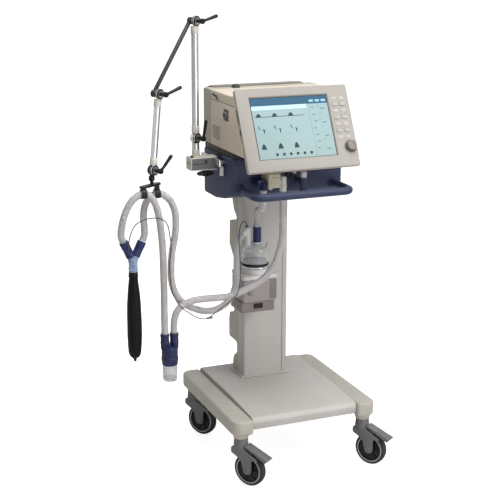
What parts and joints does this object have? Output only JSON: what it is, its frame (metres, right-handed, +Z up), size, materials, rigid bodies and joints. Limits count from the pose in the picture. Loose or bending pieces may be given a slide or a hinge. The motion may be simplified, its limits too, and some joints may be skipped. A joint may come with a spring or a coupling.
{
  "type": "mechanical ventilator",
  "caption": "Hospital ventilator on a castor trolley: tilting display on a beige body, humidifier on the column, and a jointed arm carrying the breathing hoses.",
  "frame": {"origin": "on the floor under the middle of the machine's box, measured without the hanging hoses", "axes": "+Z up, front (the display side) towards -Y, +X to the right as seen from the front"},
  "size_m": [0.9857, 0.6668, 1.6883],
  "materials": {
    "beige_plastic": "satin moulded, warm beige",
    "olive_plastic": "satin moulded, olive grey",
    "warm_grey_plastic": "satin moulded, warm grey",
    "navy_plastic": "satin moulded, navy",
    "dark_grey_plastic": "matte, dark grey",
    "black_plastic": "satin, black",
    "tyre_rubber": "matte rubber",
    "grey_casting": "satin painted casting",
    "steel": "brushed steel tube",
    "zinc": "cast, bead blasted",
    "screen": "flat display with a soft sheen",
    "clear_plastic": "clear moulded",
    "hose": "smooth pale grey hose",
    "blue_plastic": "glossy deep blue",
    "pale_blue_plastic": "translucent blue",
    "cream_plastic": "satin cream",
    "pink_grey_plastic": "satin pinkish grey",
    "cable": "matte cable jacket",
    "bag_rubber": "black rubber bag"
  },
  "bodies": {
    "root": {"chassis_frame": "grey_casting", "base_platform": "warm_grey_plastic", "left_base_skirt": "olive_plastic", "right_base_skirt": "olive_plastic", "column_cover": "warm_grey_plastic", "column_rear_cover": "olive_plastic", "column_post": "steel", "lower_housing": "navy_plastic", "front_handle": "navy_plastic", "side_rail": "steel", "body_shell": "beige_plastic", "rear_panel": "dark_grey_plastic", "gas_valve_block": "steel", "electronics_unit": "zinc", "expiratory_valve": "cream_plastic", "inspiratory_port": "blue_plastic", "nebuliser_port": "navy_plastic", "humidifier_base": "pink_grey_plastic", "water_chamber": "clear_plastic", "rail_clamp": "zinc", "inspiratory_hose": "hose", "trap_return_hose": "hose", "humidifier_feed_hose": "hose", "temperature_cable": "cable"},
    "castor_front_left": {"castor_fork_front_left": "grey_casting"},
    "wheel_front_left": {"castor_wheel_front_left": "tyre_rubber"},
    "pedal_front_left": {"brake_pedal_front_left": "grey_casting"},
    "castor_rear_left": {"castor_fork_rear_left": "grey_casting"},
    "wheel_rear_left": {"castor_wheel_rear_left": "tyre_rubber"},
    "castor_front_right": {"castor_fork_front_right": "grey_casting"},
    "wheel_front_right": {"castor_wheel_front_right": "tyre_rubber"},
    "pedal_front_right": {"brake_pedal_front_right": "grey_casting"},
    "castor_rear_right": {"castor_fork_rear_right": "grey_casting"},
    "wheel_rear_right": {"castor_wheel_rear_right": "tyre_rubber"},
    "display": {"display_housing": "beige_plastic", "display_bezel": "beige_plastic", "screen_panel": "screen"},
    "knob": {"rotary_knob": "pink_grey_plastic"},
    "key_1_left_cap": {"key_1_left": "warm_grey_plastic"},
    "key_1_right_cap": {"key_1_right": "warm_grey_plastic"},
    "key_2_left_cap": {"key_2_left": "warm_grey_plastic"},
    "key_2_right_cap": {"key_2_right": "warm_grey_plastic"},
    "key_3_left_cap": {"key_3_left": "warm_grey_plastic"},
    "key_3_right_cap": {"key_3_right": "warm_grey_plastic"},
    "switch": {"humidifier_switch": "black_plastic"},
    "clamp_wing": {"clamp_knob": "black_plastic"},
    "stub": {"arm_stub": "steel"},
    "post": {"arm_post": "steel"},
    "boom": {"arm_boom": "dark_grey_plastic"},
    "drop": {"arm_drop_tube": "steel"},
    "holder": {"hose_holder": "black_plastic", "expiratory_hose": "hose", "y_piece": "pale_blue_plastic", "test_lung": "bag_rubber", "water_trap_head": "blue_plastic"},
    "trap_cup": {"water_trap_cup": "clear_plastic"},
    "base_lever": {"base_lock_lever": "black_plastic"},
    "top_lever": {"top_lock_lever": "black_plastic"},
    "middle_lever": {"middle_lock_lever": "black_plastic"},
    "low_lever": {"low_lock_lever": "black_plastic"}
  },
  "joints": [
    {"name": "castor_swivel_front_left", "type": "hinge", "parent": "root", "child": "castor_front_left", "pos_m": [-0.1355, -0.2206, 0.16], "axis": [0, 0, 1], "continuous": true},
    {"name": "castor_roll_front_left", "type": "hinge", "parent": "castor_front_left", "child": "wheel_front_left", "pos_m": [-0.11256, -0.25337, 0.0625], "axis": [0.8192, 0.5736, 0], "continuous": true},
    {"name": "brake_press_front_left", "type": "hinge", "parent": "castor_front_left", "child": "pedal_front_left", "pos_m": [-0.11829, -0.24517, 0.1555], "axis": [0.8192, 0.5736, 0], "range_deg": [0, 8]},
    {"name": "castor_swivel_rear_left", "type": "hinge", "parent": "root", "child": "castor_rear_left", "pos_m": [-0.1355, 0.2874, 0.16], "axis": [0, 0, 1], "continuous": true},
    {"name": "castor_roll_rear_left", "type": "hinge", "parent": "castor_rear_left", "child": "wheel_rear_left", "pos_m": [-0.11256, 0.25463, 0.0625], "axis": [0.8192, 0.5736, 0], "continuous": true},
    {"name": "castor_swivel_front_right", "type": "hinge", "parent": "root", "child": "castor_front_right", "pos_m": [0.3645, -0.2206, 0.16], "axis": [0, 0, 1], "continuous": true},
    {"name": "castor_roll_front_right", "type": "hinge", "parent": "castor_front_right", "child": "wheel_front_right", "pos_m": [0.38744, -0.25337, 0.0625], "axis": [0.8192, 0.5736, 0], "continuous": true},
    {"name": "brake_press_front_right", "type": "hinge", "parent": "castor_front_right", "child": "pedal_front_right", "pos_m": [0.38171, -0.24517, 0.1555], "axis": [0.8192, 0.5736, 0], "range_deg": [0, 8]},
    {"name": "castor_swivel_rear_right", "type": "hinge", "parent": "root", "child": "castor_rear_right", "pos_m": [0.3645, 0.2874, 0.16], "axis": [0, 0, 1], "continuous": true},
    {"name": "castor_roll_rear_right", "type": "hinge", "parent": "castor_rear_right", "child": "wheel_rear_right", "pos_m": [0.38744, 0.25463, 0.0625], "axis": [0.8192, 0.5736, 0], "continuous": true},
    {"name": "display_tilt", "type": "hinge", "parent": "root", "child": "display", "pos_m": [0.1145, -0.1735, 1.1963], "axis": [1, 0, 0], "range_deg": [0, 20]},
    {"name": "knob_turn", "type": "hinge", "parent": "display", "child": "knob", "pos_m": [0.3075, -0.18077, 1.22482], "axis": [0, -0.8894, 0.4571], "continuous": true},
    {"name": "key_1_left_press", "type": "slide", "parent": "display", "child": "key_1_left_cap", "axis": [0, 0.8894, -0.4571], "range_m": [0, 0.001], "stiffness_N_per_m": 300, "springref_m": -0.0005},
    {"name": "key_1_right_press", "type": "slide", "parent": "display", "child": "key_1_right_cap", "axis": [0, 0.8894, -0.4571], "range_m": [0, 0.001], "stiffness_N_per_m": 300, "springref_m": -0.0005},
    {"name": "key_2_left_press", "type": "slide", "parent": "display", "child": "key_2_left_cap", "axis": [0, 0.8894, -0.4571], "range_m": [0, 0.001], "stiffness_N_per_m": 300, "springref_m": -0.0005},
    {"name": "key_2_right_press", "type": "slide", "parent": "display", "child": "key_2_right_cap", "axis": [0, 0.8894, -0.4571], "range_m": [0, 0.001], "stiffness_N_per_m": 300, "springref_m": -0.0005},
    {"name": "key_3_left_press", "type": "slide", "parent": "display", "child": "key_3_left_cap", "axis": [0, 0.8894, -0.4571], "range_m": [0, 0.001], "stiffness_N_per_m": 300, "springref_m": -0.0005},
    {"name": "key_3_right_press", "type": "slide", "parent": "display", "child": "key_3_right_cap", "axis": [0, 0.8894, -0.4571], "range_m": [0, 0.001], "stiffness_N_per_m": 300, "springref_m": -0.0005},
    {"name": "humidifier_switch_rock", "type": "hinge", "parent": "root", "child": "switch", "pos_m": [0.0315, 0.0239, 0.594], "axis": [1, 0, 0], "range_deg": [0, 5]},
    {"name": "clamp_knob_turn", "type": "hinge", "parent": "root", "child": "clamp_wing", "pos_m": [-0.1555, 0.0834, 1.11], "axis": [0, 0, 1], "continuous": true},
    {"name": "arm_swivel", "type": "hinge", "parent": "root", "child": "stub", "pos_m": [-0.1925, 0.0834, 1.15], "axis": [0, 0, 1], "range_deg": [-90, 50], "deforming": ["inspiratory_hose", "trap_return_hose", "temperature_cable"]},
    {"name": "post_tilt", "type": "hinge", "parent": "stub", "child": "post", "pos_m": [-0.1925, 0.0834, 1.244], "axis": [0.5, -0.866, 0], "range_deg": [-20, 10], "deforming": ["inspiratory_hose", "trap_return_hose", "temperature_cable"]},
    {"name": "boom_tilt", "type": "hinge", "parent": "post", "child": "boom", "pos_m": [-0.1925, 0.0834, 1.665], "axis": [0.5, -0.866, 0], "range_deg": [-30, 8], "deforming": ["inspiratory_hose", "trap_return_hose", "temperature_cable"]},
    {"name": "drop_tilt", "type": "hinge", "parent": "boom", "child": "drop", "pos_m": [-0.36571, -0.0166, 1.425], "axis": [0.5, -0.866, 0], "range_deg": [-30, 10], "deforming": ["inspiratory_hose", "trap_return_hose", "temperature_cable"]},
    {"name": "holder_tilt", "type": "hinge", "parent": "drop", "child": "holder", "pos_m": [-0.39515, -0.0336, 1.16], "axis": [0.5, -0.866, 0], "range_deg": [-25, 15], "deforming": ["inspiratory_hose", "trap_return_hose", "temperature_cable"]},
    {"name": "water_cup_twist", "type": "hinge", "parent": "holder", "child": "trap_cup", "pos_m": [-0.3545, -0.0666, 0.44], "axis": [0, 0, 1], "range_deg": [0, 30]},
    {"name": "base_lever_turn", "type": "hinge", "parent": "post", "child": "base_lever", "pos_m": [-0.1925, 0.0834, 1.244], "axis": [0.5, -0.866, 0], "range_deg": [0, 90]},
    {"name": "top_lever_turn", "type": "hinge", "parent": "post", "child": "top_lever", "pos_m": [-0.1925, 0.0834, 1.665], "axis": [0.5, -0.866, 0], "range_deg": [0, 90]},
    {"name": "middle_lever_turn", "type": "hinge", "parent": "drop", "child": "middle_lever", "pos_m": [-0.36571, -0.0166, 1.425], "axis": [0.5, -0.866, 0], "range_deg": [0, 90]},
    {"name": "low_lever_turn", "type": "hinge", "parent": "drop", "child": "low_lever", "pos_m": [-0.39515, -0.0336, 1.16], "axis": [0.5, -0.866, 0], "range_deg": [0, 90]}
  ]
}
